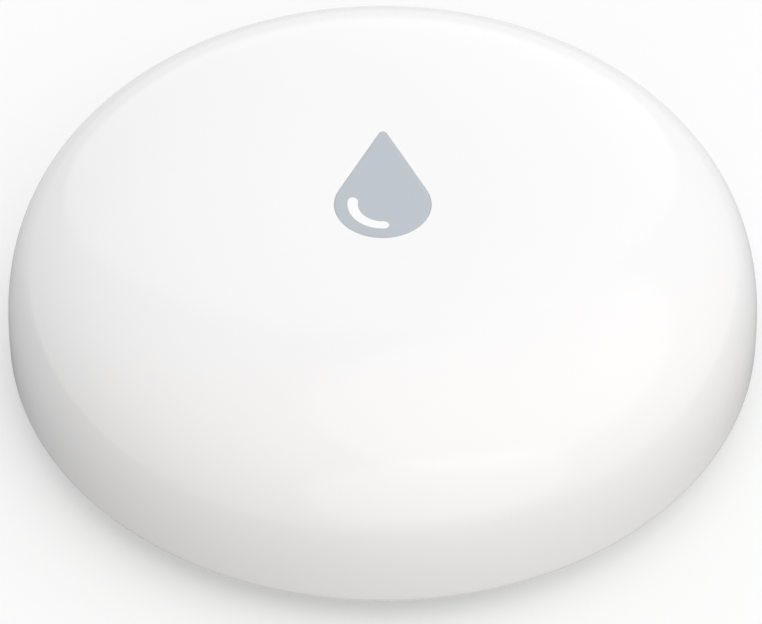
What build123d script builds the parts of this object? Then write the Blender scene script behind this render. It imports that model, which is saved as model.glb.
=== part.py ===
from build123d import *
import math
import os

# Battery water leak sensor: a white pebble-shaped disc that lies on the floor.
# All lengths are millimetres. Z is up, and the origin is the middle of the footprint on the floor.

# Outer form
body_radius = 25.0
body_height = 15.0
crown_exponent = 3.14
crown_turn = 67.5
crown_facets = 9
hollow_facets = 6
crown_flat_radius = 6.5
skirt_edge_height = 1.75
skirt_edge_break = 0.5
shell_wall = 1.65
stand_off = 0.6
floor_wall = 1.6

# Base rim: a bevelled underside, a flange below the skirt and a tongue inside it
bevel_run = 3.3
flange_rim = 0.4
flange_set_in = 0.7
tongue_clearance = 0.06
tongue_wall = 1.5
tongue_height = 2.85

# Gasket between the two shells
gasket_groove_low = 1.1
gasket_groove_width = 1.1
gasket_groove_depth = 0.8
gasket_clearance = 0.05

# Snap hooks on the tongue and the catches inside the cover that they hold
hook_count = 6
hook_span = 16.0
hook_turn = 30.0
hook_wall = 0.7
hook_nib_height = 0.75
hook_clearance = 0.1
catch_low = 0.15
catch_height = 0.75

# Coin cell, a 20 mm wide and 3.2 mm thick size
cell_radius = 10.0
cell_height = 3.2
cell_step = 0.25
cell_chamfer = 0.3
cell_can_wall = 0.8
cell_gasket_wall = 0.5
cell_side_gap = 0.25
cell_seat_gap = 0.1

# Battery cover: a coin-turned cap with three ramped lugs
cover_plate = 1.7
cover_wall = 1.0
cover_wall_height = 2.3
cover_flange_ledge = 1.3
cover_rim_gap = 0.12
cover_turn = 60.0
cover_travel = 2.6
cover_edge_break = 0.2
coin_radius = 12.0
coin_slot_width = 2.0
coin_slot_depth = 1.0

lug_count = 3
lug_span = 16.0
lug_turn = 90.0
lug_reach = 0.6
lug_height = 1.0
lug_rise = 1.2
lug_root = 0.3

well_clearance = 0.15
lug_clearance = 0.15
groove_end_turn = 2.0
well_wall = 1.7

# Ring seal round the rim of the battery cover
ring_seal_groove_depth = 0.6
ring_seal_groove_width = 1.0
ring_seal_groove_low = 0.3
ring_seal_clearance = 0.04
ring_seal_end_gap = 0.18

# Probes: two screws that touch the water, each with a seal and a threaded insert
probe_head_radius = 2.4
probe_head_height = 1.2
probe_head_crown = 0.45
probe_face_radius = 1.2
probe_shoulder_radius = 2.08
probe_shoulder_rise = 0.2
probe_tip_gap = 0.15
probe_shank_radius = 1.22
probe_shank_length = 4.2
probe_recess_gap = 0.4
probe_cross_reach = 1.25
probe_cross_width = 0.55
probe_cross_depth = 0.75
probe_seal_thickness = 0.5
probe_seal_radius = 2.5
probe_bore_gap = 0.13
probe_web = 0.75
insert_radius = 2.0
insert_thread_radius = 1.25
insert_fit = 0.02
boss_wall = 1.2

# Feet and stiffening ribs of the base
foot_count = 4
foot_turn = 45.0
foot_radius = 1.6
foot_chamfer = 0.2
rib_turns = (0.0, 60.0, 90.0, 120.0, 180.0, 210.0, 240.0, 300.0, 330.0)
rib_width = 0.8
rib_height = 1.5
rib_root = 0.3

# Circuit board and the screws that hold it on its posts
contact_room = 0.9
board_thickness = 1.0
board_edge_gap = 0.4
post_count = 3
post_turn = 90.0
post_radius = 2.0
post_pilot_radius = 0.8
post_pilot_depth = 3.0
board_screw_shank_radius = 0.78
board_screw_shank_length = 3.6
board_screw_head_radius = 1.5
board_screw_head_height = 1.0
board_screw_slot_width = 0.4
board_screw_slot_depth = 0.4
board_hole_gap = 0.25

# Hold-down pegs inside the cover
peg_count = 3
peg_turn = 30.0
peg_radius = 1.1

# Battery contacts, stamped strip
strip_thickness = 0.2
strip_gap = 0.05
negative_strip_width = 3.0
negative_strip_reach = 7.5
negative_tab_length = 2.6
negative_tip_length = 1.6
negative_tip_lift = 0.35
positive_strip_width = 3.6
positive_tab_length = 2.2
positive_side_room = 1.0
positive_side_drop = 0.4
positive_touch_drop = 0.25
positive_tail_drop = 0.3
positive_tail_run = 0.4

# Parts on the circuit board
switch_side = 6.0
switch_plate_set_in = 0.3
stem_end_gap = 0.1
switch_lead_width = 0.7
switch_lead_length = 1.0
switch_lead_thickness = 0.15
switch_lead_spread = 4.5
stem_radius = 1.75
stem_gap = 0.1
led_length = 3.2
led_width = 2.6
led_height = 1.2
led_lens_radius = 1.0
led_lens_height = 0.3
led_reach = 5.4
chip_side = 7.0
chip_height = 0.9
chip_mark_radius = 0.4
chip_mark_depth = 0.1
crystal_length = 3.2
crystal_width = 2.5
crystal_height = 0.8
antenna_thickness = 0.1
antenna_trace = 0.6
antenna_pitch = 1.5
antenna_depth = 3.0
antenna_turns = 5
passive_length = 1.6
passive_width = 0.8
passive_height = 0.7

# Height of the switch as a share of the room below the boot, and of its pieces as shares of that
switch_share = 0.617
switch_body_share = 0.72
switch_plate_share = 0.08
stem_sunk_share = 0.2

# Places on the board, as shares of the board's radius
chip_place_shares = (-0.44, -0.16)
crystal_place_shares = (-0.44, -0.56)
antenna_place_shares = (0.0, 0.62)
passive_place_shares = (
    (0.30, 0.34), (0.42, 0.34), (0.54, 0.34), (0.30, -0.30), (0.42, -0.30), (0.54, -0.30),
    (-0.16, -0.48), (0.16, -0.48), (0.30, -0.50), (-0.46, 0.20), (-0.34, 0.34), (-0.22, 0.42),
)

# Push button in the shape of a plain water drop, set in the middle of the crown
drop_radius = 3.15
drop_middle = -2.2
drop_tip_radius = 0.25
drop_tip_middle = 4.6
button_gap = 0.08
button_travel = 0.3
button_flange_reach = 0.7
button_flange_thickness = 0.6
button_flange_gap = 0.2
button_end_gap = 0.25
button_boss_radius = 2.2
highlight_radius = 1.95
highlight_width = 0.7
highlight_depth = 0.4
highlight_from = 172.0
highlight_span = 100.0

# Silicone boot below the button, stretched over a collar inside the cover
collar_bore = 6.2
collar_wall = 1.0
boot_wall = 0.8
boot_fit = 0.05
boot_web = 0.45
boot_flex = 0.25
boot_flex_from = 2.6
boot_skirt = 1.05
boot_pip_radius = 1.6

# How far cutters run past what they cut
overrun = 1.0

# The widest part of the cover lies just above its bevelled lower edge
widest_height = skirt_edge_height + skirt_edge_break


def crown_outline(radius, top, facets):
    """Half section of a pebble crown, from its widest point to the axis.

    Short facets join points of a superellipse up to the crown turn, and the middle is flat.
    """
    places = []
    for facet in range(facets + 1):
        angle = math.radians(crown_turn * facet / facets)
        along, up = math.cos(angle), math.sin(angle)
        reach = (along**crown_exponent + up**crown_exponent) ** (-1 / crown_exponent)
        places.append((radius * reach * along, widest_height + (top - widest_height) * reach * up))
    return places + [(radius * crown_flat_radius / body_radius, top), (0, top)]


def radius_at(height, outline):
    """Radius of a faceted outline at a height."""
    for (radius, low), (next_radius, high) in zip(outline, outline[1:]):
        if low <= height <= high:
            return radius + (next_radius - radius) * (height - low) / (high - low)
    return 0


# Heights that follow from the stack of pieces, from the floor up
floor_top = stand_off + floor_wall
plate_top = stand_off + cover_plate
cell_low = plate_top + cell_seat_gap
cell_top = cell_low + cell_height
cell_shoulder = cell_top - cell_step
board_low = cell_top + contact_room
board_top = board_low + board_thickness
ceiling = body_height - shell_wall
tongue_top = skirt_edge_height + tongue_height
gasket_low = skirt_edge_height + gasket_groove_low
gasket_high = gasket_low + gasket_groove_width
catch_floor = tongue_top + catch_low
catch_top = catch_floor + catch_height
nib_low = catch_top + hook_clearance
nib_top = nib_low + hook_nib_height
lug_middle = plate_top + lug_rise
button_flange_top = ceiling - button_flange_gap
button_flange_low = button_flange_top - button_flange_thickness
collar_low = button_flange_low - button_travel - button_end_gap
web_low = collar_low - boot_web
switch_rise = switch_share * (web_low - board_top)
switch_top = board_top + switch_body_share * switch_rise
plate_high = switch_top + switch_plate_share * switch_rise
stem_low = switch_top - stem_sunk_share * switch_rise
stem_top = board_top + switch_rise
probe_head_low = probe_tip_gap
probe_head_top = probe_head_low + probe_head_height
probe_seal_top = probe_head_top + probe_seal_thickness
insert_low = probe_seal_top + probe_web

# Radii that follow from one another, from the outside in and from the cell out
shell_bore = body_radius - shell_wall
shell_outline = crown_outline(body_radius, body_height, crown_facets)
hollow_outline = crown_outline(shell_bore, ceiling, hollow_facets)
tongue_radius = radius_at(tongue_top, hollow_outline) - tongue_clearance
tongue_bore = tongue_radius - tongue_wall
flange_radius = body_radius - flange_set_in
bevel_radius = flange_radius - bevel_run
hook_radius = tongue_bore + hook_wall
catch_bore = hook_radius + hook_clearance
cover_bore = cell_radius + cell_side_gap
cover_wall_radius = cover_bore + cover_wall
lug_radius = cover_wall_radius + lug_reach
well_bore = cover_wall_radius + well_clearance
groove_radius = lug_radius + lug_clearance
cover_flange_radius = well_bore + cover_flange_ledge
recess_radius = cover_flange_radius + cover_rim_gap
well_radius = cover_flange_radius + well_wall - cover_rim_gap
ring_pitch = (well_radius + tongue_bore) / 2
board_radius = tongue_bore - board_edge_gap
boss_radius = insert_radius + boss_wall
probe_recess_radius = probe_head_radius + probe_recess_gap
probe_bore_radius = probe_shank_radius + probe_bore_gap
cover_lead = cover_travel * 360 / cover_turn


def turned_outline(*points):
    """A solid of revolution about Z from the corners of its half section in X and Z."""
    outline = Polyline(*points, close=True)
    return revolve(Plane.XZ * make_face(outline.edges()), Axis.Z)


def ring(inner, outer, low, high):
    """A plain ring, or a disc where the inner radius is zero."""
    return turned_outline((inner, low), (outer, low), (outer, high), (inner, high))


def peg(radius, low, high):
    """A round peg on the Z axis."""
    return Pos(0, 0, low) * extrude(Circle(radius), high - low)


def block(length, width, low, high):
    """A rectangular block centred on the Z axis."""
    return Pos(0, 0, low) * extrude(Rectangle(length, width), high - low)


def sector(radius, middle_turn, span, low, high):
    """A wedge of a disc, centred on an angle in degrees."""
    ends = [math.radians(middle_turn + side * span / 2) for side in (-1, 0, 1)]
    first, middle, last = [(radius * math.cos(a), radius * math.sin(a)) for a in ends]
    outline = [Line((0, 0), first), ThreePointArc(first, middle, last), Line(last, (0, 0))]
    return Pos(0, 0, low) * extrude(make_face(outline), high - low)


def hook_wedges(low, high):
    """The wedges that the snap hooks and their catches take up."""
    turns = [hook_turn + 360 * step / hook_count for step in range(hook_count)]
    return [sector(body_radius, turn, hook_span, low, high) for turn in turns]


def around(count, first_turn, radius=0.0):
    """Locations evenly round the axis, each turned to face outwards."""
    return [
        Rot(0, 0, first_turn + 360 * step / count) * Pos(radius, 0, 0)
        for step in range(count)
    ]


def strip(points, thickness, width):
    """A bent metal strip: its centre line in X and Z, given a thickness and a width along Y."""
    path = [Vector(x, z) for x, z in points]
    left, right = [], []
    for i, here in enumerate(path):
        before = (here - path[i - 1]).normalized() if i else (path[1] - here).normalized()
        after = (path[i + 1] - here).normalized() if i + 1 < len(path) else before
        bisector = (before + after).normalized()
        across = Vector(-bisector.Y, bisector.X) * (thickness / 2 / bisector.dot(before))
        left.append((here.X + across.X, here.Y + across.Y))
        right.append((here.X - across.X, here.Y - across.Y))
    outline = Polyline(*left, *reversed(right), close=True)
    return extrude(Plane.XZ * make_face(outline.edges()), width / 2, both=True)


def drop_face(grow=0.0):
    """Plain water drop: a large circle below, a small one at the tip, and straight flanks between."""
    low_radius, tip_radius = drop_radius + grow, drop_tip_radius + grow
    up = (low_radius - tip_radius) / (drop_tip_middle - drop_middle)
    along = math.sqrt(1 - up * up)
    low_right = (low_radius * along, drop_middle + low_radius * up)
    low_left = (-low_right[0], low_right[1])
    tip_right = (tip_radius * along, drop_tip_middle + tip_radius * up)
    tip_left = (-tip_right[0], tip_right[1])
    outline = [
        Line(low_right, tip_right),
        ThreePointArc(tip_right, (0, drop_tip_middle + tip_radius), tip_left),
        Line(tip_left, low_left),
        ThreePointArc(low_left, (0, drop_middle - low_radius), low_right),
    ]
    return make_face(outline)


def drop_prism(grow, low, high):
    """The water drop, grown by a margin, as an upright prism."""
    return Pos(0, 0, low) * extrude(drop_face(grow), high - low)


def helix_bar(inner, outer, height, from_turn, to_turn, zero_turn, zero_height):
    """A bar that climbs round the axis at the cover's lead, through zero_height at zero_turn."""
    span = to_turn - from_turn
    middle = (inner + outer) / 2
    path = Helix(cover_lead, cover_lead * span / 360, middle)
    start = Plane(origin=path @ 0, x_dir=(1, 0, 0), z_dir=path % 0)
    bar = sweep(start * Rectangle(outer - inner, height), path, is_frenet=True)
    base = zero_height + cover_lead * (from_turn - zero_turn) / 360
    return Pos(0, 0, base) * Rot(0, 0, from_turn) * bar


def crown_solid():
    """The full pebble form of the cover, before it is hollowed."""
    edge = body_radius - skirt_edge_break
    return turned_outline((0, skirt_edge_height), (edge, skirt_edge_height), *shell_outline)


def hollow_solid():
    """The space inside the cover, which runs out through its open bottom."""
    low = skirt_edge_height - overrun
    return turned_outline((0, low), (shell_bore, low), *hollow_outline)


def make_top_cover():
    """Glossy moulded shell with the button's collar, snap catches and three hold-down pegs."""
    crown = crown_solid()
    shell = crown - hollow_solid()
    collar = ring(collar_bore, collar_bore + collar_wall, collar_low, ceiling + shell_wall / 2)
    pegs = [
        place * peg(peg_radius, board_top, ceiling)
        for place in around(peg_count, peg_turn, ring_pitch)
    ]
    catch_ring = ring(catch_bore, body_radius - shell_wall / 2, catch_floor, catch_top)
    catches = [catch_ring & wedge for wedge in hook_wedges(catch_floor, catch_top)]
    shell = shell + collar + [piece & crown for piece in pegs] + catches
    return shell - drop_prism(0, collar_low, body_height + overrun)


def make_push_button():
    """Translucent push button: its face is flush with the crown, and a flange below keeps it in."""
    button = drop_prism(-button_gap, button_flange_top, body_height)
    button = button + drop_prism(button_flange_reach, button_flange_low, button_flange_top)
    button = button + peg(button_boss_radius, collar_low, button_flange_low)
    return button - highlight_bar(body_height + overrun)


def highlight_bar(high):
    """A curved bar inside the round end of the drop, where a real drop catches the light."""
    arc = CenterArc((0, drop_middle), highlight_radius, highlight_from, highlight_span)
    low = body_height - highlight_depth
    return Pos(0, 0, low) * extrude(SlotArc(arc, highlight_width), high - low)


def make_button_highlight():
    """White second-shot inlay that fills the curved bar."""
    return highlight_bar(body_height)


def make_button_boot():
    """Silicone cap that seals the button: a rim over the collar, a flexing web and a middle pip."""
    rim_bore = collar_bore + collar_wall + boot_fit
    rim_radius = rim_bore + boot_wall
    flex_to = collar_bore - boot_fit
    return turned_outline(
        (0, stem_top),
        (boot_pip_radius, stem_top),
        (boot_pip_radius, web_low),
        (boot_flex_from, web_low),
        (boot_flex_from, collar_low - boot_flex),
        (flex_to, collar_low - boot_flex),
        (flex_to, web_low),
        (rim_radius, web_low),
        (rim_radius, collar_low + boot_skirt),
        (rim_bore, collar_low + boot_skirt),
        (rim_bore, collar_low),
        (0, collar_low),
    )


def make_base():
    """Lower shell: bevelled floor, hooked tongue, battery well with ramped grooves, bosses, posts."""
    dish = turned_outline(
        (0, stand_off),
        (bevel_radius, stand_off),
        (flange_radius, skirt_edge_height - flange_rim),
        (flange_radius, skirt_edge_height),
        (tongue_radius, skirt_edge_height),
        (tongue_radius, gasket_low),
        (tongue_radius - gasket_groove_depth, gasket_low),
        (tongue_radius - gasket_groove_depth, gasket_high),
        (tongue_radius, gasket_high),
        (tongue_radius, tongue_top),
        (tongue_bore, tongue_top),
        (tongue_bore, floor_top),
        (0, floor_top),
    )
    well = ring(0, well_radius, stand_off, board_low)
    inside = peg(tongue_bore + rib_root, stand_off, board_low)
    bosses = [
        place * peg(boss_radius, stand_off, board_low) & inside for place in around(2, 0, ring_pitch)
    ]
    posts = [
        place * peg(post_radius, stand_off, board_low)
        for place in around(post_count, post_turn, ring_pitch)
    ]
    foot = Pos(0, 0, stand_off) * extrude(Circle(foot_radius), -stand_off)
    foot = chamfer(foot.edges().sort_by(Axis.Z)[0], foot_chamfer)
    feet = [place * foot for place in around(foot_count, foot_turn, ring_pitch)]
    base = dish + well + bosses + posts + feet + make_ribs() + make_hooks()
    return base - base_cuts()


def make_ribs():
    """Radial stiffening ribs between the battery well and the tongue."""
    length = tongue_bore - well_radius + 2 * rib_root
    rib = block(length, rib_width, floor_top - floor_wall / 2, floor_top + rib_height)
    return [Rot(0, 0, turn) * Pos(ring_pitch, 0, 0) * rib for turn in rib_turns]


def make_hooks():
    """Snap hooks that rise from the tongue, each with a sloped nib that faces outwards."""
    nib_radius = radius_at(nib_top, hollow_outline) - hook_clearance
    hook_ring = turned_outline(
        (tongue_bore, floor_top),
        (hook_radius, floor_top),
        (hook_radius, nib_low),
        (nib_radius, nib_low),
        (hook_radius, nib_top),
        (tongue_bore, nib_top),
    )
    return [hook_ring & wedge for wedge in hook_wedges(floor_top, nib_top)]


def base_cuts():
    """Everything that is taken out of the base: the well, its grooves, the screw holes."""
    recess = turned_outline(
        (0, stand_off),
        (recess_radius + cover_edge_break, stand_off),
        (recess_radius, stand_off + cover_edge_break),
        (recess_radius, plate_top + cell_seat_gap / 2),
        (0, plate_top + cell_seat_gap / 2),
    )
    cuts = [recess, peg(well_bore, stand_off, board_low + overrun)]
    for i in range(lug_count):
        middle = lug_turn + 360 * i / lug_count
        half = lug_span / 2
        cuts.append(
            helix_bar(
                well_bore - lug_root,
                groove_radius,
                lug_height + 2 * lug_clearance,
                middle - half - cover_turn,
                middle + half + groove_end_turn,
                middle,
                lug_middle,
            )
        )
    for place in around(2, 0, ring_pitch):
        cuts.append(place * peg(probe_recess_radius, stand_off - overrun, probe_seal_top))
        cuts.append(place * peg(probe_bore_radius, stand_off, insert_low + overrun))
        cuts.append(place * peg(insert_radius + insert_fit, insert_low, board_low + overrun))
    for place in around(post_count, post_turn, ring_pitch):
        cuts.append(place * peg(post_pilot_radius, board_low - board_screw_pilot(), board_low + overrun))
    return cuts


def board_screw_pilot():
    """Depth of a post's pilot hole, which leaves the screw's tip free."""
    return max(post_pilot_depth, board_screw_shank_length - board_thickness + board_hole_gap)


def make_battery_cover():
    """Coin-turned cap: a plate with a grooved rim and a ring wall that carries three ramped lugs."""
    groove_radius_in = cover_flange_radius - ring_seal_groove_depth
    groove_low = stand_off + ring_seal_groove_low
    groove_high = groove_low + ring_seal_groove_width
    cap = turned_outline(
        (0, stand_off),
        (cover_flange_radius - cover_edge_break, stand_off),
        (cover_flange_radius, stand_off + cover_edge_break),
        (cover_flange_radius, groove_low),
        (groove_radius_in, groove_low),
        (groove_radius_in, groove_high),
        (cover_flange_radius, groove_high),
        (cover_flange_radius, plate_top),
        (cover_wall_radius, plate_top),
        (cover_wall_radius, plate_top + cover_wall_height),
        (cover_bore, plate_top + cover_wall_height),
        (cover_bore, plate_top),
        (0, plate_top),
    )
    for i in range(lug_count):
        middle = lug_turn + 360 * i / lug_count
        half = lug_span / 2
        cap = cap + helix_bar(
            cover_wall_radius - lug_root,
            lug_radius,
            lug_height,
            middle - half,
            middle + half,
            middle,
            lug_middle,
        )
    coin = Rot(90, 0, 0) * Cylinder(coin_radius, coin_slot_width)
    return cap - Pos(0, 0, stand_off + coin_slot_depth - coin_radius) * coin


def make_battery_cover_seal():
    """Rubber ring in the rim groove of the battery cover."""
    groove_bottom = cover_flange_radius - ring_seal_groove_depth
    inner = groove_bottom + ring_seal_clearance
    outer = recess_radius - ring_seal_clearance
    low = stand_off + ring_seal_groove_low + ring_seal_end_gap
    return ring(inner, outer, low, low + ring_seal_groove_width - 2 * ring_seal_end_gap)


def make_housing_seal():
    """Flat rubber gasket in the groove of the tongue."""
    inner = tongue_radius - gasket_groove_depth + gasket_clearance
    outer = tongue_radius + gasket_clearance
    return ring(inner, outer, gasket_low + gasket_clearance, gasket_high - gasket_clearance)


def make_cell():
    """Coin cell in three pieces: the can below, the nylon gasket and the smaller lid above."""
    can_bore = cell_radius - cell_can_wall
    lid_radius = can_bore - cell_gasket_wall
    can = turned_outline(
        (0, cell_low),
        (cell_radius - cell_chamfer, cell_low),
        (cell_radius, cell_low + cell_chamfer),
        (cell_radius, cell_shoulder),
        (can_bore, cell_shoulder),
        (can_bore, cell_low + cell_step),
        (0, cell_low + cell_step),
    )
    gasket = ring(lid_radius, can_bore, cell_low + cell_step, cell_shoulder)
    lid = ring(0, lid_radius, cell_low + cell_step, cell_top)
    return can, gasket, lid


def make_board():
    """Round circuit board with a clearance hole over each post."""
    board = peg(board_radius, board_low, board_top)
    hole_radius = board_screw_shank_radius + board_hole_gap
    holes = [
        place * peg(hole_radius, board_low - overrun, board_top + overrun)
        for place in around(post_count, post_turn, ring_pitch)
    ]
    return board - holes


def make_board_screws():
    """Slotted self-tapping screws, one for each post."""
    head = peg(board_screw_head_radius, board_top, board_top + board_screw_head_height)
    head = chamfer(head.edges().sort_by(Axis.Z)[-1], board_screw_head_height / 3)
    shank = peg(board_screw_shank_radius, board_top - board_screw_shank_length, board_top)
    slot_low = board_top + board_screw_head_height - board_screw_slot_depth
    slot = block(
        2 * board_screw_head_radius, board_screw_slot_width, slot_low, slot_low + overrun
    )
    screw = head + shank - slot
    return Compound([place * screw for place in around(post_count, post_turn, ring_pitch)])


def make_probe_screws():
    """Two pan-head cross-recess screws whose heads stand just clear of the floor."""
    head = turned_outline(
        (0, probe_head_low),
        (probe_face_radius, probe_head_low),
        (probe_shoulder_radius, probe_head_low + probe_shoulder_rise),
        (probe_head_radius, probe_head_low + probe_head_crown),
        (probe_head_radius, probe_head_top),
        (0, probe_head_top),
    )
    shank = peg(probe_shank_radius, probe_head_top, probe_head_top + probe_shank_length)
    arm = block(
        2 * probe_cross_reach,
        probe_cross_width,
        probe_head_low - overrun,
        probe_head_low + probe_cross_depth,
    )
    screw = head + shank - arm - Rot(0, 0, 90) * arm
    return Compound([place * screw for place in around(2, 0, ring_pitch)])


def make_probe_seals():
    """Flat rubber washers between the probe heads and the base."""
    seal = ring(probe_bore_radius, probe_seal_radius, probe_head_top, probe_seal_top)
    return Compound([place * seal for place in around(2, 0, ring_pitch)])


def make_probe_inserts():
    """Brass threaded inserts whose upper ends touch the pads of the circuit board."""
    insert = ring(insert_thread_radius, insert_radius, insert_low, board_low)
    return Compound([place * insert for place in around(2, 0, ring_pitch)])


def make_negative_contact():
    """Leaf spring soldered below the board, bent down to touch the lid of the cell."""
    tab = board_low - strip_thickness / 2
    touch = cell_top + strip_thickness / 2 + strip_gap
    return strip(
        [
            (-negative_strip_reach, tab),
            (negative_tab_length - negative_strip_reach, tab),
            (0, touch),
            (negative_tip_length, touch + negative_tip_lift),
        ],
        strip_thickness,
        negative_strip_width,
    )


def make_positive_contact():
    """Side spring soldered below the board, bowed inwards to touch the rim of the can."""
    tab = board_low - strip_thickness / 2
    side = cell_radius + positive_side_room
    touch = cell_radius + strip_thickness + strip_gap
    touch_height = cell_shoulder - positive_touch_drop
    return strip(
        [
            (side - positive_tab_length, tab),
            (side, tab),
            (side, tab - positive_side_drop),
            (touch, touch_height),
            (touch + positive_tail_run, touch_height - positive_tail_drop),
        ],
        strip_thickness,
        positive_strip_width,
    )


def make_switch():
    """Tactile switch in four pieces: moulded body, steel plate, soldered leads and round stem."""
    well_low = stem_low - button_travel - stem_end_gap
    well = peg(stem_radius + stem_gap, well_low, switch_top + overrun)
    body = block(switch_side, switch_side, board_top, switch_top) - well
    plate_side = switch_side - 2 * switch_plate_set_in
    plate = block(plate_side, plate_side, switch_top, plate_high) - well
    lead_middle = (switch_side + switch_lead_length) / 2
    leads = [
        Pos(side * lead_middle, row * switch_lead_spread / 2, 0)
        * block(switch_lead_length, switch_lead_width, board_top, board_top + switch_lead_thickness)
        for side in (-1, 1)
        for row in (-1, 1)
    ]
    stem = peg(stem_radius, stem_low, stem_top)
    return body, plate, Compound(leads), stem


def make_status_led():
    """Surface-mounted lamp below the round end of the button."""
    body = block(led_length, led_width, board_top, board_top + led_height)
    lens_low = board_top + led_height
    lens = peg(led_lens_radius, lens_low, lens_low + led_lens_height)
    return Pos(0, -led_reach, 0) * (body + lens)


def on_board(shares):
    """A location on the board from shares of its radius."""
    return Pos(shares[0] * board_radius, shares[1] * board_radius, 0)


def make_radio_chip():
    """Square radio chip with a dimple at its first pin."""
    top = board_top + chip_height
    inset = chip_side / 2 - 2.5 * chip_mark_radius
    dimple = Pos(-inset, inset, 0) * peg(chip_mark_radius, top - chip_mark_depth, top + overrun)
    return on_board(chip_place_shares) * (block(chip_side, chip_side, board_top, top) - dimple)


def make_crystal():
    """Timing crystal in a metal can."""
    can = block(crystal_length, crystal_width, board_top, board_top + crystal_height)
    return on_board(crystal_place_shares) * can


def make_antenna():
    """Meandering copper antenna near the edge of the board."""
    runs = []
    width = antenna_turns * antenna_pitch
    for i in range(antenna_turns + 1):
        x = i * antenna_pitch - width / 2
        runs.append(Pos(x, 0, 0) * Rectangle(antenna_trace, antenna_depth))
    for i in range(antenna_turns):
        x = (i + 0.5) * antenna_pitch - width / 2
        y = (antenna_depth - antenna_trace) / 2 * (1 if i % 2 else -1)
        runs.append(Pos(x, y, 0) * Rectangle(antenna_pitch + antenna_trace, antenna_trace))
    outline = Sketch() + runs
    return on_board(antenna_place_shares) * Pos(0, 0, board_top) * extrude(outline, antenna_thickness)


def make_passives():
    """Small resistors and capacitors, alike, spread over the board."""
    part = block(passive_length, passive_width, board_top, board_top + passive_height)
    return Compound([on_board(shares) * part for shares in passive_place_shares])


cell_can, cell_gasket, cell_lid = make_cell()
switch_body, switch_plate, switch_leads, switch_stem = make_switch()

pieces = {
    "top_cover": make_top_cover(),
    "push_button": make_push_button(),
    "push_button_highlight": make_button_highlight(),
    "button_boot": make_button_boot(),
    "base": make_base(),
    "housing_seal": make_housing_seal(),
    "battery_cover": make_battery_cover(),
    "battery_cover_seal": make_battery_cover_seal(),
    "cell_can": cell_can,
    "cell_gasket": cell_gasket,
    "cell_lid": cell_lid,
    "negative_contact": make_negative_contact(),
    "positive_contact": make_positive_contact(),
    "probe_screws": make_probe_screws(),
    "probe_seals": make_probe_seals(),
    "probe_inserts": make_probe_inserts(),
    "circuit_board": make_board(),
    "board_screws": make_board_screws(),
    "switch_body": switch_body,
    "switch_plate": switch_plate,
    "switch_leads": switch_leads,
    "switch_stem": switch_stem,
    "status_led": make_status_led(),
    "radio_chip": make_radio_chip(),
    "crystal": make_crystal(),
    "antenna": make_antenna(),
    "chip_components": make_passives(),
}

os.makedirs("parts", exist_ok=True)
for name, shape in pieces.items():
    export_step(shape, f"parts/{name}.step")
    print(name, "volume", round(shape.volume, 2), "solids", len(shape.solids()))
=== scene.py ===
import math
import bmesh
import bpy
import numpy as np
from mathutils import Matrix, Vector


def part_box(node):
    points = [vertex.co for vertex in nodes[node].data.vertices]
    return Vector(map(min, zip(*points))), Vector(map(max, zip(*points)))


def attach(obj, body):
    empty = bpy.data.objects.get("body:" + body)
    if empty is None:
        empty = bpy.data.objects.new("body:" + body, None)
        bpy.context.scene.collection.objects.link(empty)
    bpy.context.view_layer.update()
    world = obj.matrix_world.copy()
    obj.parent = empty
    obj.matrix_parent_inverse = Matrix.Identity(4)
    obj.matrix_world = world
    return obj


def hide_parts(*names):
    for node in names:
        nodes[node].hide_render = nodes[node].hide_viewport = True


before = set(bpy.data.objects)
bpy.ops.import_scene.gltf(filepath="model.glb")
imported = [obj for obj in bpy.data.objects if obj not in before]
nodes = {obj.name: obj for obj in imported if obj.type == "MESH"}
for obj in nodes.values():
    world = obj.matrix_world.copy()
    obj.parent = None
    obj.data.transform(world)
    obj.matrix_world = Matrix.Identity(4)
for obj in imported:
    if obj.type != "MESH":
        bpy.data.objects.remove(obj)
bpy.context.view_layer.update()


# Camera: a product shot from in front of the sensor and about 44 degrees above it, with a long lens.
# It looks at a point a little above the middle of the footprint, so that the sensor fills the frame.
def point_at(thing, place, target):
    """Puts a camera or lamp at a place and turns it so that its own -Z points at the target."""
    look = np.array(target) - np.array(place)
    thing.location = place
    thing.rotation_euler = (math.atan2(math.hypot(look[0], look[1]), -look[2]), 0.0,
                            math.atan2(-look[0], look[1]))


camera_place = (0.0, -0.2057, 0.2049)
camera_target = (-0.000113, 0.0, 0.003051)
lens_length, sensor_width = 203.08, 36.0
camera_data = bpy.data.cameras.new("camera")
camera_data.lens = lens_length
camera_data.sensor_width = sensor_width
camera = bpy.data.objects.new("camera", camera_data)
bpy.context.scene.collection.objects.link(camera)
point_at(camera, camera_place, camera_target)
bpy.context.scene.camera = camera
bpy.context.scene.view_settings.view_transform = "Standard"


# Top cover: one moulded shell of polished white plastic, a pebble with a drop-shaped hole in its crown.
# Its half section is a superellipse, hollowed to an even wall. A collar for the boot, three pegs that
# hold the circuit board down and six catches for the snap hooks are moulded inside it.
cover_low, cover_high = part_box("top_cover")
body_radius, body_height = cover_high.x, cover_high.z
skirt_height = cover_low.z
edge_round = 0.0005
widest_height = skirt_height + edge_round
crown_exponent = 3.14
shell_wall = 0.00165
bore_radius = body_radius - shell_wall
ceiling = body_height - shell_wall
turns = 512
around = np.linspace(0.0, 2 * np.pi, turns, endpoint=False)


def crown_height(radius, widest=body_radius, top=body_height):
    """Height of the crown at a radius: a superellipse, (r / widest)^n + (share of the rise)^n = 1."""
    share = np.clip(1.0 - np.clip(radius / widest, 0.0, 1.0) ** crown_exponent, 0.0, 1.0)
    return widest_height + (top - widest_height) * share ** (1.0 / crown_exponent)


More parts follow.
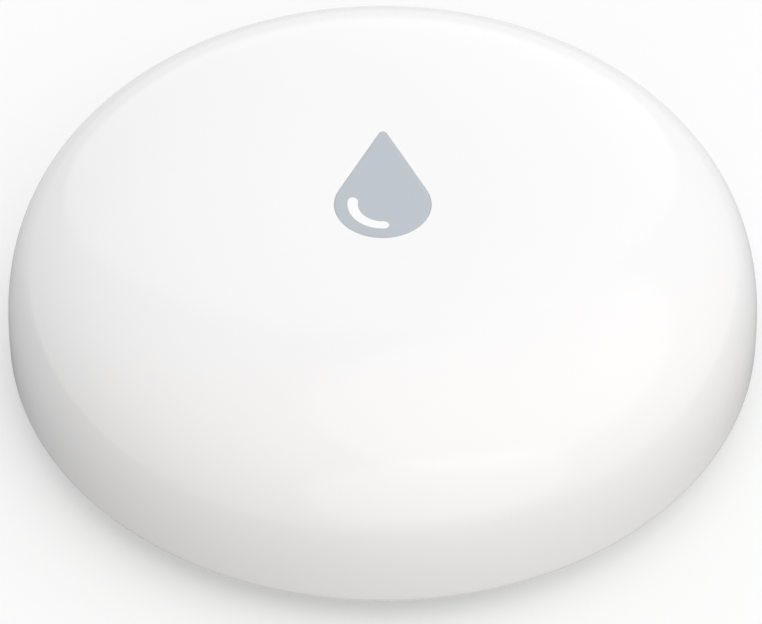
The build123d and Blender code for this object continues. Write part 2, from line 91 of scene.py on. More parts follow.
def crown_section(widest, top, last_turn, steps):
    """Columns of radii and heights of the same superellipse, at even polar angles from its foot.

    At the angle a, up to last_turn in degrees, the reach of the curve is (cos(a)^n + sin(a)^n)^(-1/n).
    """
    angle = np.radians(np.linspace(0.0, last_turn, steps))[:, None]
    along, up = np.cos(angle), np.sin(angle)
    reach = (along ** crown_exponent + up ** crown_exponent) ** (-1.0 / crown_exponent)
    return widest * reach * along, widest_height + (top - widest_height) * reach * up


drop_radius, drop_middle = 0.00315, -0.0022
tip_radius, tip_middle = 0.00025, 0.0046


def drop_outline(angle, grow=0.0):
    """Distance from the axis to the edge of the drop at each angle, with the drop grown by a margin.

    The drop is two circles and the two straight flanks that touch both. A ray meets a flank between
    the flank's two ends, and otherwise the circle beyond that end.
    """
    low, tip = drop_radius + grow, tip_radius + grow
    rise = (low - tip) / (tip_middle - drop_middle)
    run = math.sqrt(1.0 - rise * rise)
    east, north = np.cos(angle), np.sin(angle)
    facing = run * np.abs(east) + rise * north
    least = 1e-6
    flank = (low + rise * drop_middle) / np.maximum(facing, least)
    hit = flank * north

    def circle(middle, radius):
        """Far crossing of the ray with a circle whose middle lies on the drop's long axis."""
        along = north * middle
        return along + np.sqrt(np.clip(along ** 2 - middle ** 2 + radius ** 2, 0.0, None))

    past_tip = (facing > least) & (hit > tip_middle + tip * rise)
    past_low = (facing <= least) | (hit < drop_middle + low * rise)
    return np.where(past_tip, circle(tip_middle, tip),
                    np.where(past_low, circle(drop_middle, low), flank))


def ring_faces(rings, count, closed):
    """Quads between neighbouring rings of equal count; the last ring joins the first if closed."""
    ring = np.arange(rings if closed else rings - 1)[:, None]
    here = np.arange(count)[None, :]
    after = (here + 1) % count
    low, high = ring * count, (ring + 1) % rings * count
    return np.stack([low + here, high + here, high + after, low + after], -1).reshape(-1, 4)


def turned_solid(section, angle=around, centre=(0.0, 0.0)):
    """Points and faces of a half section (r, z) carried round an upright axis.

    The point at the angle a is (centre x + r cos a, centre y + r sin a, z). The section is a list of
    pairs, each one point or a column of them, and r and z may be rows that change with the angle. It
    runs from the bottom middle, out, up and back to the top middle, and ends in a pole there, or, if it
    starts away from the axis, round the section of a ring and back to its start.
    """
    grids = [np.broadcast_arrays(np.atleast_2d(r), np.atleast_2d(z), angle[None])[:2] for r, z in section]
    radii, heights = np.vstack([grid[0] for grid in grids]), np.vstack([grid[1] for grid in grids])
    holed = bool(radii[0].min() > 0.0)
    poles = np.array([[*centre, heights[0, 0]], [*centre, heights[-1, 0]]])
    if not holed:
        radii, heights = radii[1:-1], heights[1:-1]
    points = np.stack([centre[0] + radii * np.cos(angle), centre[1] + radii * np.sin(angle), heights], -1)
    points = points.reshape(-1, 3)
    count = len(angle)
    sides = ring_faces(len(radii), count, holed)[:, ::-1]
    if holed:
        return points, [sides]
    here = np.arange(count)
    after = (here + 1) % count
    top_ring = len(points) - count
    low_fan = np.stack([np.full(count, len(points)), after, here], -1)
    high_fan = np.stack([np.full(count, len(points) + 1), top_ring + here, top_ring + after], -1)
    return np.vstack([points, poles]), [sides, low_fan, high_fan]


def capped_bar(x, y, z):
    """Points and faces of a bar: each row of the three grids is one cross section, and the ends close."""
    x, y, z = np.broadcast_arrays(x, y, z)
    rows, count = x.shape
    outline = np.arange(count)
    caps = np.stack([outline, (rows - 1) * count + outline[::-1]])
    return np.stack([x, y, z], -1).reshape(-1, 3), [ring_faces(rows, count, False), caps]


def rounded(corners, radius, steps=5):
    """A section whose corners are replaced by curves that touch both their sides.

    Corners are (r, z) pairs in order. The radius is one length, or one for each corner, zero for a sharp
    one. A curve runs from start to end as (1 - t)^2 start + 2 t (1 - t) corner + t^2 end.
    """
    corners = np.asarray(corners, float)
    radius = np.broadcast_to(radius, len(corners))
    share = np.linspace(0.0, 1.0, steps)[:, None]
    most_of_side = 0.49
    section = []
    for i, corner in enumerate(corners):
        if radius[i] <= 0:
            section.append(corner[None])
            continue
        before, after = corners[i - 1] - corner, corners[(i + 1) % len(corners)] - corner
        before_length, after_length = np.linalg.norm(before), np.linalg.norm(after)
        before_unit, after_unit = before / before_length, after / after_length
        half_angle = math.acos(np.clip(before_unit @ after_unit, -1.0, 1.0)) / 2
        back = min(radius[i] / math.tan(half_angle), min(before_length, after_length) * most_of_side)
        start, end = corner + before_unit * back, corner + after_unit * back
        section.append((1 - share) ** 2 * start + 2 * share * (1 - share) * corner + share ** 2 * end)
    return np.vstack(section)


def ring_section(inner, outer, low, high, radius):
    """Section of a ring between two radii and two heights, with its corners rounded."""
    return rounded([(inner, low), (outer, low), (outer, high), (inner, high)], radius)


def make_piece(name, solids, body, material, node, smooth=40.0):
    """One object from closed solids, smooth where neighbouring faces meet at less than that angle."""
    points, faces, first = [], [], 0
    for solid_points, solid_faces in solids:
        points.append(solid_points)
        for group in solid_faces:
            faces += (group + first).tolist()
        first += len(solid_points)
    mesh = bpy.data.meshes.new(name)
    mesh.from_pydata(np.vstack(points).tolist(), [], faces)
    shape = bmesh.new()
    shape.from_mesh(mesh)
    bmesh.ops.recalc_face_normals(shape, faces=shape.faces)
    shape.to_mesh(mesh)
    shape.free()
    mesh.shade_smooth()
    mesh.set_sharp_from_angle(angle=math.radians(smooth))
    mesh.materials.append(material)
    piece = bpy.data.objects.new(name, mesh)
    bpy.context.scene.collection.objects.link(piece)
    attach(piece, body)
    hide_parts(node)


def plastic(name, colour, roughness, grain_scale, grain_depth, colour_change=0.01, **inputs):
    """Moulded plastic: broad patches change its colour and roughness a little, over a fine grain.

    The patches are a slow noise. The grain is a noise of grain_scale ups and downs a metre, read as a
    height of grain_depth metres. Further inputs go to the shader's sockets of those names.
    """
    patch_scale, patch_detail, grain_detail = 120.0, 3.0, 2.0
    patch_from, patch_to, rough_change = 0.35, 0.65, 0.15
    material = bpy.data.materials.new(name)
    material.use_nodes = True
    tree = material.node_tree
    shader = tree.nodes["Principled BSDF"]
    place = tree.nodes.new("ShaderNodeTexCoord")
    patches = tree.nodes.new("ShaderNodeTexNoise")
    patches.inputs["Scale"].default_value = patch_scale
    patches.inputs["Detail"].default_value = patch_detail
    tint = tree.nodes.new("ShaderNodeValToRGB")
    darker, lighter = tint.color_ramp.elements
    darker.position, lighter.position = patch_from, patch_to
    darker.color = [part * (1 - colour_change) for part in colour] + [1.0]
    lighter.color = [min(part * (1 + colour_change), 1.0) for part in colour] + [1.0]
    rough = tree.nodes.new("ShaderNodeMapRange")
    rough.inputs["To Min"].default_value = roughness * (1 - rough_change)
    rough.inputs["To Max"].default_value = roughness * (1 + rough_change)
    grain = tree.nodes.new("ShaderNodeTexNoise")
    grain.inputs["Scale"].default_value = grain_scale
    grain.inputs["Detail"].default_value = grain_detail
    bump = tree.nodes.new("ShaderNodeBump")
    bump.inputs["Distance"].default_value = grain_depth
    tree.links.new(place.outputs["Object"], patches.inputs["Vector"])
    tree.links.new(place.outputs["Object"], grain.inputs["Vector"])
    tree.links.new(patches.outputs["Fac"], tint.inputs["Fac"])
    tree.links.new(tint.outputs["Color"], shader.inputs["Base Color"])
    tree.links.new(patches.outputs["Fac"], rough.inputs["Value"])
    tree.links.new(rough.outputs["Result"], shader.inputs["Roughness"])
    tree.links.new(grain.outputs["Fac"], bump.inputs["Height"])
    tree.links.new(bump.outputs["Normal"], shader.inputs["Normal"])
    for socket, value in inputs.items():
        shader.inputs[socket.replace("_", " ")].default_value = value
    return material


hole = drop_outline(around)
hole_round, corner_share = 0.00002, 0.3
hole_corner = hole_round * corner_share
crown_r, crown_z = crown_section(body_radius, body_height, 71.0, 64)
bore_r, bore_z = crown_section(bore_radius, ceiling, 70.0, 36)
edge_turn = np.linspace(0.0, np.pi / 2, 9)[1:, None]
skirt_chamfer = 0.0001

rim_r = hole + hole_round
rim_spread = (np.linspace(0.0, 1.0, 16)[1:-1, None]) ** 1.4
top_r = rim_r + (crown_r[-1] - rim_r) * rim_spread
ceiling_r = bore_r[-1] + (hole - bore_r[-1]) * np.linspace(0.0, 1.0, 10)[1:, None]
ceiling_z = crown_height(ceiling_r, bore_radius, ceiling)
rim_foot = crown_height(hole) - hole_round
hole_z = ceiling_z[-1] + (rim_foot - ceiling_z[-1]) * np.linspace(0.0, 1.0, 5)[1:-1, None]
cover_solids = [turned_solid([
    (hole, rim_foot),
    (hole + hole_corner, crown_height(hole) - hole_corner),
    (rim_r, crown_height(rim_r)),
    (top_r, crown_height(top_r)),
    (crown_r[::-1], crown_z[::-1]),
    (body_radius - edge_round * (1 - np.cos(edge_turn)), widest_height - edge_round * np.sin(edge_turn)),
    (bore_radius + skirt_chamfer, skirt_height),
    (bore_radius, skirt_height + skirt_chamfer),
    (bore_r, bore_z),
    (ceiling_r, ceiling_z),
    (hole, hole_z)])]

collar_bore, collar_wall, collar_soft = 0.0062, 0.0010, 0.00008
collar_low, collar_root = 0.0120, 0.0140
collar_section = ring_section(collar_bore, collar_bore + collar_wall, collar_low, collar_root,
                              [collar_soft, collar_soft, 0.0, 0.0])
cover_solids.append(turned_solid(collar_section, around[::4]))

ring_pitch = 0.018006
peg_radius, peg_chamfer, peg_foot, peg_root = 0.0011, 0.0001, 0.0075, 0.0126
peg_section = [(0.0, peg_foot), (peg_radius - peg_chamfer, peg_foot),
               (peg_radius, peg_foot + peg_chamfer), (peg_radius, peg_root), (0.0, peg_root)]
for peg_turn in np.radians([30.0, 150.0, 270.0]):
    peg_middle = (ring_pitch * math.cos(peg_turn), ring_pitch * math.sin(peg_turn))
    cover_solids.append(turned_solid(peg_section, around[::16], peg_middle))

catch_span, catch_steps = np.radians(16.0), 13
catch_bore, catch_root, catch_low, catch_high = 0.022533, 0.0240, 0.00475, 0.0055
catch_r = np.array([[catch_bore, catch_root, catch_root, catch_bore]])
catch_z = np.array([[catch_low, catch_low, catch_high, catch_high]])
for catch_turn in np.radians(np.arange(30.0, 390.0, 60.0)):
    swing = catch_turn + np.linspace(-0.5, 0.5, catch_steps)[:, None] * catch_span
    cover_solids.append(capped_bar(catch_r * np.cos(swing), catch_r * np.sin(swing), catch_z))

shell_gloss = plastic("shell_gloss", colour=(0.903, 0.894, 0.897), roughness=0.12, grain_scale=900.0,
                      grain_depth=0.0000003, colour_change=0.003, Coat_Weight=0.3, Coat_Roughness=0.14)
make_piece("cover_shell", cover_solids, "housing", shell_gloss, "top_cover")


# Push button: a water drop in translucent grey-blue plastic, flush with the crown, moulded in one with
# a flange that holds it under the shell and a round boss that presses on the boot.
button_gap = 0.000015
button_soft, flange_soft, boss_soft = 0.00002, 0.00008, 0.0001
boss_radius, boss_low = 0.0022, 0.0120
flange_reach, flange_low, flange_top = 0.0007, 0.01255, 0.01315
button_edge = drop_outline(around, -button_gap)
flange_edge = drop_outline(around, flange_reach)
button_corner = button_soft * corner_share
face_r = (button_edge - button_soft) * np.linspace(1.0, 0.0, 14)[:, None]
button_section = [
    (0.0, boss_low),
    (boss_radius - boss_soft, boss_low),
    (boss_radius, boss_low + boss_soft),
    (boss_radius, flange_low),
    (flange_edge - flange_soft, flange_low),
    (flange_edge, flange_low + flange_soft),
    (flange_edge, flange_top - flange_soft),
    (flange_edge - flange_soft, flange_top),
    (button_edge, flange_top),
    (button_edge, crown_height(button_edge) - button_soft),
    (button_edge - button_corner, crown_height(button_edge) - button_corner),
    (face_r, crown_height(face_r))]
button_translucent = plastic("button_translucent", colour=(0.47, 0.51, 0.555), roughness=0.14,
                             grain_scale=900.0, grain_depth=0.0000006, colour_change=0.004,
                             Subsurface_Weight=0.15, Subsurface_Scale=0.0008, Coat_Weight=0.15,
                             Coat_Roughness=0.06)
make_piece("drop_button", [turned_solid(button_section)], "button",
           button_translucent, "push_button")


# Highlight inlay: a small crescent of white plastic moulded into the button, where a real drop would
# catch the light. It is a bar along an arc with round ends, and stands a hair above the button.
inlay_radius, inlay_width, inlay_depth = 0.00195, 0.0007, 0.0004
inlay_from, inlay_span, inlay_steps = np.radians(172.0), np.radians(100.0), 61
inlay_proud, inlay_soft, inlay_thinnest = 0.000006, 0.00002, 1e-7
inlay_middle = inlay_from + inlay_span / 2
end_reach = inlay_width / 2 / inlay_radius
ease = np.sin(np.linspace(-1.0, 1.0, inlay_steps) * np.pi / 2)
sweep = (inlay_middle + ease * (inlay_span / 2 + end_reach))[:, None]
past_end = np.clip((np.abs(sweep - inlay_middle) - inlay_span / 2) / end_reach, 0.0, 1.0)
half_width = inlay_width / 2 * np.sqrt(1.0 - past_end ** 2) + inlay_thinnest
across = np.array([[-1.0, 1.0, 1.0, 0.94, 0.5, 0.0, -0.5, -0.94, -1.0]])
lift = np.array([[-inlay_depth, -inlay_depth, -inlay_soft, 0.0, 0.0, 0.0, 0.0, 0.0, -inlay_soft]])
inlay_r = inlay_radius + half_width * across
inlay_x, inlay_y = inlay_r * np.cos(sweep), drop_middle + inlay_r * np.sin(sweep)
inlay_z = crown_height(np.hypot(inlay_x, inlay_y)) + inlay_proud + lift
button_inlay = plastic("button_inlay", colour=(0.92, 0.925, 0.93), roughness=0.14, grain_scale=900.0,
                       grain_depth=0.0000006, colour_change=0.003)
make_piece("highlight_inlay", [capped_bar(inlay_x, inlay_y, inlay_z)], "button",
           button_inlay, "push_button_highlight")


# Button boot: a soft silicone cap stretched over the collar below the button, which keeps water out.
# It has a thin web that flexes and a pip that rests on the stem of the switch.
boot_low, boot_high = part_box("button_boot")
boot_fit, pip_radius, flex_from = 0.00005, 0.0016, 0.0026
web_low, flex_low = collar_low - 0.00045, collar_low - 0.00025
web_fillet, pip_fillet, rim_fillet, mouth_fillet, crease = 0.00025, 0.0003, 0.0002, 0.0002, 0.00005
flex_to, skirt_bore = collar_bore - boot_fit, collar_bore + collar_wall + boot_fit
boot_section = rounded(
    [(0.0, boot_low.z), (pip_radius, boot_low.z), (pip_radius, web_low), (flex_from, web_low),
     (flex_from, flex_low), (flex_to, flex_low), (flex_to, web_low), (boot_high.x, web_low),
     (boot_high.x, boot_high.z), (skirt_bore, boot_high.z), (skirt_bore, collar_low), (0.0, collar_low)],
    [0.0, pip_fillet, rim_fillet, crease, crease, crease, crease, web_fillet, mouth_fillet, mouth_fillet,
     crease, 0.0])
silicone = plastic("silicone_clear", colour=(0.80, 0.81, 0.81), roughness=0.45, grain_scale=1600.0,
                   grain_depth=0.000002, colour_change=0.02, Transmission_Weight=0.25, IOR=1.41)
make_piece("boot_cap", [turned_solid(boot_section, around[::4])], "housing", silicone,
           "button_boot", smooth=30.0)


# Base: the lower shell in white plastic with a fine sparked texture. It is a copy of the solid model's
# mesh with its edges broken, so the floor, feet, well, bosses, posts and hooks stay where they are.
def edge_broken(name, node, body, material, break_width, smooth=35.0):
    """A merged copy of a solid model's mesh whose edges above that angle get a narrow rounded break."""
    merge_distance, flat_angle, break_segments = 2e-7, math.radians(0.5), 2
    mesh = nodes[node].data.copy()
    mesh.name = name
    shape = bmesh.new()
    shape.from_mesh(mesh)
    bmesh.ops.remove_doubles(shape, verts=shape.verts, dist=merge_distance)
    bmesh.ops.dissolve_limit(shape, angle_limit=flat_angle, verts=shape.verts, edges=shape.edges)
    shape.to_mesh(mesh)
    shape.free()
    mesh.materials.clear()
    mesh.materials.append(material)
    mesh.shade_smooth()
    mesh.set_sharp_from_angle(angle=math.radians(smooth))
    piece = bpy.data.objects.new(name, mesh)
    bpy.context.scene.collection.objects.link(piece)
    bevel = piece.modifiers.new("edge_break", "BEVEL")
    bevel.width = break_width
    bevel.segments = break_segments
    bevel.limit_method = "ANGLE"
    bevel.angle_limit = math.radians(smooth)
    bevel.harden_normals = True
    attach(piece, body)
    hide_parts(node)


moulded_break = 0.00006
base_matte = plastic("base_matte", colour=(0.88, 0.88, 0.87), roughness=0.46, grain_scale=4200.0,
                     grain_depth=0.00002, colour_change=0.015)
edge_broken("base_shell", "base", "housing", base_matte, moulded_break)


# Battery cover: a cap in the same textured plastic with a coin slot across it. Three ramped lugs on
# its wall pull it into the base in a sixth of a turn.
cover_matte = plastic("cover_matte", colour=(0.87, 0.87, 0.862), roughness=0.46, grain_scale=4200.0,
                      grain_depth=0.00002, colour_change=0.015)
edge_broken("cell_cap_shell", "battery_cover", "cell_cap", cover_matte, moulded_break)


# Seals: dark silicone rubber, all moulded as rounded rings. One lies in the rim of the battery cover,
# one between the two shells, and a flat washer is under the head of each probe screw.
seal_rubber = plastic("seal_rubber", colour=(0.045, 0.045, 0.048), roughness=0.55, grain_scale=3000.0,
                      grain_depth=0.000006, colour_change=0.05)
rim_low, rim_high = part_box("battery_cover_seal")
rim_width, rim_round = 0.00064, 0.0003
rim_section = ring_section(rim_high.x - rim_width, rim_high.x, rim_low.z, rim_high.z, rim_round)
make_piece("cell_cap_ring", [turned_solid(rim_section, around[::2])], "cell_carrier",
           seal_rubber, "battery_cover_seal", smooth=60.0)
gasket_low, gasket_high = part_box("housing_seal")
gasket_width, gasket_round = 0.0008, 0.00025
gasket_section = ring_section(gasket_high.x - gasket_width, gasket_high.x, gasket_low.z, gasket_high.z,
                              gasket_round)
make_piece("shell_gasket", [turned_solid(gasket_section, around[::2])], "housing",
           seal_rubber, "housing_seal", smooth=60.0)
washer_low, washer_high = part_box("probe_seals")
washer_bore, washer_round = 0.00135, 0.00012
washer_section = ring_section(washer_bore, washer_high.x - ring_pitch, washer_low.z, washer_high.z,
                              washer_round)
make_piece("probe_washers",
           [turned_solid(washer_section, around[::8], (side, 0.0)) for side in (-ring_pitch, ring_pitch)],
           "housing", seal_rubber, "probe_seals", smooth=60.0)


# Probes: two nickel-plated screws with a cross recess, whose turned heads touch the water, and the
# threaded brass inserts that they are screwed into. All keep the solid model's shapes.
def metal(name, colour, roughness, line_scale, line_depth, stretch=(1.0, 1.0, 1.0)):
    """Plated metal: one noise, finer along the axes that stretch is large on, makes lines and dull spots."""
    line_detail, rough_change = 3.0, 0.25
    material = bpy.data.materials.new(name)
    material.use_nodes = True
    tree = material.node_tree
    shader = tree.nodes["Principled BSDF"]
    shader.inputs["Metallic"].default_value = 1.0
    shader.inputs["Base Color"].default_value = [*colour, 1.0]
    place = tree.nodes.new("ShaderNodeTexCoord")
    mapping = tree.nodes.new("ShaderNodeMapping")
    mapping.inputs["Scale"].default_value = stretch
    lines = tree.nodes.new("ShaderNodeTexNoise")
    lines.inputs["Scale"].default_value = line_scale
    lines.inputs["Detail"].default_value = line_detail
    rough = tree.nodes.new("ShaderNodeMapRange")
    rough.inputs["To Min"].default_value = roughness * (1 - rough_change)
    rough.inputs["To Max"].default_value = roughness * (1 + rough_change)
    bump = tree.nodes.new("ShaderNodeBump")
    bump.inputs["Distance"].default_value = line_depth
    tree.links.new(place.outputs["Object"], mapping.inputs["Vector"])
    tree.links.new(mapping.outputs["Vector"], lines.inputs["Vector"])
    tree.links.new(lines.outputs["Fac"], rough.inputs["Value"])
    tree.links.new(rough.outputs["Result"], shader.inputs["Roughness"])
    tree.links.new(lines.outputs["Fac"], bump.inputs["Height"])
    tree.links.new(bump.outputs["Normal"], shader.inputs["Normal"])
    return material


def refinish(node, material):
    """Gives a solid model's node its procedural finish and leaves its shape alone."""
    nodes[node].data.materials.clear()
    nodes[node].data.materials.append(material)


def feed(tree, socket, value):
    """Gives a socket a plain number, or a link from another node's output."""
    if isinstance(value, float):
        socket.default_value = value
    else:
        tree.links.new(value, socket)


def figure(tree, operation, *values):
    """Output of a Math node on sockets or plain numbers."""
    node = tree.nodes.new("ShaderNodeMath")
    node.operation = operation
    for socket, value in zip(node.inputs, values):
        feed(tree, socket, value)
    return node.outputs["Value"]


def length_of(tree, vector):
    """Length of a vector socket."""
    node = tree.nodes.new("ShaderNodeVectorMath")
    node.operation = "LENGTH"
    tree.links.new(vector, node.inputs[0])
    return node.outputs["Value"]


def object_place(tree):
    """Object coordinates, as one vector socket and as its X and Y."""
    place = tree.nodes.new("ShaderNodeTexCoord")
    parts = tree.nodes.new("ShaderNodeSeparateXYZ")
    tree.links.new(place.outputs["Object"], parts.inputs["Vector"])
    return place.outputs["Object"], parts.outputs["X"], parts.outputs["Y"]


def turning_marks(material, pitch, rings_per_metre, depth):
    """Adds the fine rings that turning leaves round two upright axes, at x = pitch and x = -pitch.

    Their height is a noise of one number, the distance to the nearer axis: the length of (|x| - pitch, y).
    """
    tree = material.node_tree
    shader = tree.nodes["Principled BSDF"]
    _, x, y = object_place(tree)
    to_axis = tree.nodes.new("ShaderNodeCombineXYZ")
    tree.links.new(figure(tree, "SUBTRACT", figure(tree, "ABSOLUTE", x), pitch), to_axis.inputs["X"])
    tree.links.new(y, to_axis.inputs["Y"])
    rings = tree.nodes.new("ShaderNodeTexNoise")
    rings.noise_dimensions = "1D"
    rings.inputs["Scale"].default_value = rings_per_metre
    rings.inputs["Detail"].default_value = 1.0
    groove = tree.nodes.new("ShaderNodeBump")
    groove.inputs["Distance"].default_value = depth
    tree.links.new(length_of(tree, to_axis.outputs["Vector"]), rings.inputs["W"])
    tree.links.new(rings.outputs["Fac"], groove.inputs["Height"])
    tree.links.new(shader.inputs["Normal"].links[0].from_socket, groove.inputs["Normal"])
    tree.links.new(groove.outputs["Normal"], shader.inputs["Normal"])


probe_break = 0.00005
probe_steel = metal("probe_steel", colour=(0.64, 0.62, 0.58), roughness=0.27, line_scale=5000.0,
                    line_depth=0.000002)
turning_marks(probe_steel, ring_pitch, rings_per_metre=9000.0, depth=0.000006)
edge_broken("probe_heads", "probe_screws", "housing", probe_steel, probe_break)
insert_brass = metal("insert_brass", colour=(0.79, 0.62, 0.32), roughness=0.3, line_scale=4000.0,
                     line_depth=0.000003, stretch=(1, 1, 6))
refinish("probe_inserts", insert_brass)


# Board screws and contacts: zinc-plated self-tapping screws, and the tin-plated steel of the battery
# springs, the switch's plate and leads and the crystal's can, stamped from strip that was rolled.
small_screw_steel = metal("small_screw_steel", colour=(0.62, 0.62, 0.62), roughness=0.3,
                          line_scale=4000.0, line_depth=0.000003)
refinish("board_screws", small_screw_steel)
contact_steel = metal("contact_steel", colour=(0.72, 0.72, 0.70), roughness=0.3, line_scale=2500.0,
                      line_depth=0.000003, stretch=(1, 8, 1))
for node in ("negative_contact", "positive_contact", "switch_plate", "switch_leads", "crystal"):
    refinish(node, contact_steel)


# Coin cell: a drawn can and a lid of brushed nickel-plated steel, crimped together round a gasket of
# pale nylon that keeps the two apart.
cell_steel = metal("cell_steel", colour=(0.75, 0.75, 0.74), roughness=0.28, line_scale=2500.0,
                   line_depth=0.000004, stretch=(1, 10, 1))
for node in ("cell_can", "cell_lid"):
    refinish(node, cell_steel)
cell_nylon = plastic("cell_nylon", colour=(0.74, 0.74, 0.72), roughness=0.5, grain_scale=3000.0,
                     grain_depth=0.000006, colour_change=0.03)
refinish("cell_gasket", cell_nylon)


# Circuit board: green solder mask over glass laminate, with a gold-plated antenna track along its edge.
# On it stand a black moulded chip and switch with its stem, small ceramic parts and a white lamp.
board_laminate = plastic("board_laminate", colour=(0.02, 0.16, 0.075), roughness=0.32,
                         grain_scale=2600.0, grain_depth=0.000006, colour_change=0.12)
antenna_copper = metal("antenna_copper", colour=(0.83, 0.65, 0.36), roughness=0.25, line_scale=3000.0,
                       line_depth=0.000002)
chip_black = plastic("chip_black", colour=(0.02, 0.02, 0.022), roughness=0.5, grain_scale=5000.0,
                     grain_depth=0.000006, colour_change=0.1)
switch_black = plastic("switch_black", colour=(0.025, 0.025, 0.025), roughness=0.45,
                       grain_scale=4000.0, grain_depth=0.000006, colour_change=0.1)
stem_plastic = plastic("switch_stem_plastic", colour=(0.05, 0.05, 0.05), roughness=0.35,
                       grain_scale=3000.0, grain_depth=0.000003, colour_change=0.1)
lamp_white = plastic("lamp_white", colour=(0.86, 0.85, 0.76), roughness=0.2, grain_scale=2000.0,
                     grain_depth=0.000002, colour_change=0.03)
component_ceramic = plastic("component_ceramic", colour=(0.42, 0.31, 0.21), roughness=0.55,
                            grain_scale=4000.0, grain_depth=0.00001, colour_change=0.1)
refinish("circuit_board", board_laminate)
refinish("antenna", antenna_copper)
refinish("radio_chip", chip_black)
refinish("switch_body", switch_black)
refinish("switch_stem", stem_plastic)
refinish("status_led", lamp_white)
refinish("chip_components", component_ceramic)


# Floor: a plain sheet of pale paper with a faint glow of its own, so that it renders near white while
# the lamps stay low enough for the white shell. Seen from below it is clear, to show the underside.
# Round the sensor the glow is dimmed: a painted shadow on the floor and painted shade in reflections.
floor_reach = 3.0
floor_colour, floor_roughness, floor_gloss, floor_glow = (0.50, 0.50, 0.50, 1.0), 0.9, 0.1, 0.47
floor_mesh = bpy.data.meshes.new("floor")
floor_mesh.from_pydata([(-floor_reach, -floor_reach, 0), (floor_reach, -floor_reach, 0),
                        (floor_reach, floor_reach, 0), (-floor_reach, floor_reach, 0)], [], [(0, 1, 2, 3)])
floor = bpy.data.objects.new("floor", floor_mesh)
bpy.context.scene.collection.objects.link(floor)


def soft_step(tree, value, start, end, low, high=1.0):
    """A number that eases from low to high as the value goes from start to end; low may be a socket."""
    node = tree.nodes.new("ShaderNodeMapRange")
    node.interpolation_type = "SMOOTHSTEP"
    node.inputs["From Min"].default_value = start
    node.inputs["From Max"].default_value = end
    node.inputs["To Max"].default_value = high
    tree.links.new(value, node.inputs["Value"])
    feed(tree, node.inputs["To Min"], low)
    return node.outputs["Result"]


def glow_share_with_painted_shadow(tree):
    """How much of the floor's own glow a ray sees.

    The eye sees less of it where the sensor covers the floor's view of the sky, and less still on the left:
    painted shadow round the foot. A reflection sees none of it in front of the sensor and less behind it,
    out
    to shade_end: painted shade in reflections. Light that bounces off the floor gets none of it.
    """
    shade_start, shade_end = 0.066, 0.070
    behind, reflected_glow_behind_in_painted_shade = 0.030, 0.65
    cover_distance, cover_samples = 0.004, 8
    beside, glow_left_in_painted_shadow, glow_right_in_painted_shadow = 0.020, 0.80, 0.95
    path = tree.nodes.new("ShaderNodeLightPath")
    sky = tree.nodes.new("ShaderNodeAmbientOcclusion")
    sky.samples = cover_samples
    sky.inputs["Distance"].default_value = cover_distance
    place, x, y = object_place(tree)
    # Painted shade in reflections: none of the glow within shade_start in front of the sensor, some behind
    # it.
    painted_reflection_shade_near_foot = soft_step(tree, y, 0.0, behind, 0.0, reflected_glow_behind_in_painted_shade)
    reflected_glow_with_painted_shade = soft_step(tree, length_of(tree, place), shade_start, shade_end, painted_reflection_shade_near_foot)
    # Painted shadow: the floor's glow is dimmed more on the left of the sensor than on the right.
    covered = soft_step(tree, x, 0.0, beside, glow_left_in_painted_shadow, glow_right_in_painted_shadow)
    # Painted contact shadow: the glow is dimmed where ambient occlusion finds the sensor over the floor.
    direct = soft_step(tree, sky.outputs["AO"], 0.0, 1.0, covered)
    seen = figure(tree, "MAXIMUM", path.outputs["Is Camera Ray"], path.outputs["Is Transmission Ray"])
    return figure(tree, "MAXIMUM", figure(tree, "MULTIPLY", seen, direct),
                  figure(tree, "MULTIPLY", path.outputs["Is Glossy Ray"], reflected_glow_with_painted_shade))


def see_through_share(tree):
    """One where the floor lets sight or light through: from below, so that the underside shows.

    Under the sensor it also lets through the light that falls straight on what is looked at, which
    lights the underside in a view from below and leaves the shadow round the foot as it is.
    """
    footprint_radius, first_hit = 0.0245, 1.5
    side = tree.nodes.new("ShaderNodeNewGeometry")
    place, _, _ = object_place(tree)
    covered = figure(tree, "LESS_THAN", length_of(tree, place), footprint_radius)
    path = tree.nodes.new("ShaderNodeLightPath")
    direct = figure(tree, "MULTIPLY", figure(tree, "LESS_THAN", path.outputs["Ray Depth"], first_hit),
                    figure(tree, "SUBTRACT", 1.0, path.outputs["Is Camera Ray"]))
    return figure(tree, "MAXIMUM", side.outputs["Backfacing"], figure(tree, "MULTIPLY", covered, direct))


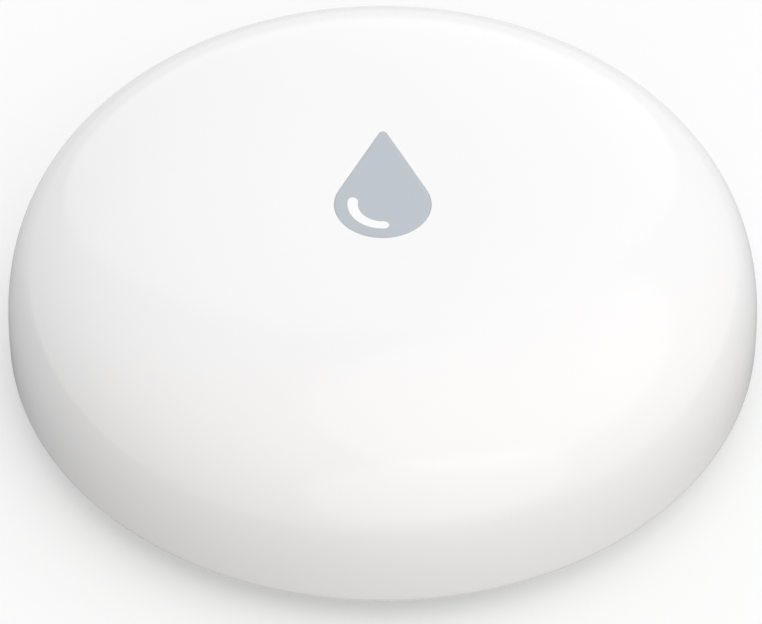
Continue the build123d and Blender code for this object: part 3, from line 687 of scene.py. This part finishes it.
floor_paper = bpy.data.materials.new("floor_paper")
floor_paper.use_nodes = True
floor_tree = floor_paper.node_tree
floor_shader = floor_tree.nodes["Principled BSDF"]
floor_shader.inputs["Base Color"].default_value = floor_colour
floor_shader.inputs["Roughness"].default_value = floor_roughness
floor_shader.inputs["Specular IOR Level"].default_value = floor_gloss
floor_shader.inputs["Emission Color"].default_value = (1.0, 1.0, 1.0, 1.0)
# The floor's glow carries the painted shadow and the painted shade in reflections worked out above.
floor_tree.links.new(figure(floor_tree, "MULTIPLY", glow_share_with_painted_shadow(floor_tree), floor_glow),
                     floor_shader.inputs["Emission Strength"])
clear = floor_tree.nodes.new("ShaderNodeBsdfTransparent")
one_sided = floor_tree.nodes.new("ShaderNodeMixShader")
floor_tree.links.new(see_through_share(floor_tree), one_sided.inputs["Fac"])
floor_tree.links.new(floor_shader.outputs["BSDF"], one_sided.inputs[1])
floor_tree.links.new(clear.outputs["BSDF"], one_sided.inputs[2])
floor_tree.links.new(one_sided.outputs["Shader"],
                     floor_tree.nodes["Material Output"].inputs["Surface"])
floor_mesh.materials.append(floor_paper)


# Light: a white room, a little brighter on the right, and three large round softboxes. The key hangs
# overhead to the right, a warm one stands low in front, and a cool one behind lifts the far edge.
left_light, right_light = 0.61, 0.87
world = bpy.data.worlds.new("studio")
bpy.context.scene.world = world
world.use_nodes = True
world_tree = world.node_tree
background = world_tree.nodes["Background"]
background.inputs["Color"].default_value = (1.0, 1.0, 1.0, 1.0)
direction = world_tree.nodes.new("ShaderNodeTexCoord")
sideways = world_tree.nodes.new("ShaderNodeSeparateXYZ")
world_tree.links.new(direction.outputs["Generated"], sideways.inputs["Vector"])
room_light = soft_step(world_tree, sideways.outputs["X"], -1.0, 1.0, left_light, right_light)
room_path = world_tree.nodes.new("ShaderNodeLightPath")
room_seen = figure(world_tree, "MAXIMUM", room_path.outputs["Is Camera Ray"],
                   figure(world_tree, "MAXIMUM", room_path.outputs["Is Glossy Ray"],
                          room_path.outputs["Is Transmission Ray"]))
world_tree.links.new(soft_step(world_tree, room_seen, 0.0, 1.0, room_light),
                     background.inputs["Strength"])

for name, place, size, power, tone in (
        ("key_softbox", (0.46, -0.08, 0.96), 1.6, 2.85, (1.0, 1.0, 1.0)),
        ("front_softbox", (0.26, -0.88, 0.38), 1.4, 2.8, (1.0, 0.965, 0.90)),
        ("back_softbox", (-0.08, 1.0, 0.5), 1.65, 2.75, (0.90, 0.955, 1.0))):
    lamp = bpy.data.lights.new(name, "AREA")
    lamp.shape = "DISK"
    lamp.size = size
    lamp.energy = power
    lamp.color = tone
    lamp_object = bpy.data.objects.new(name, lamp)
    bpy.context.scene.collection.objects.link(lamp_object)
    point_at(lamp_object, place, (0.0, 0.0, 0.0))
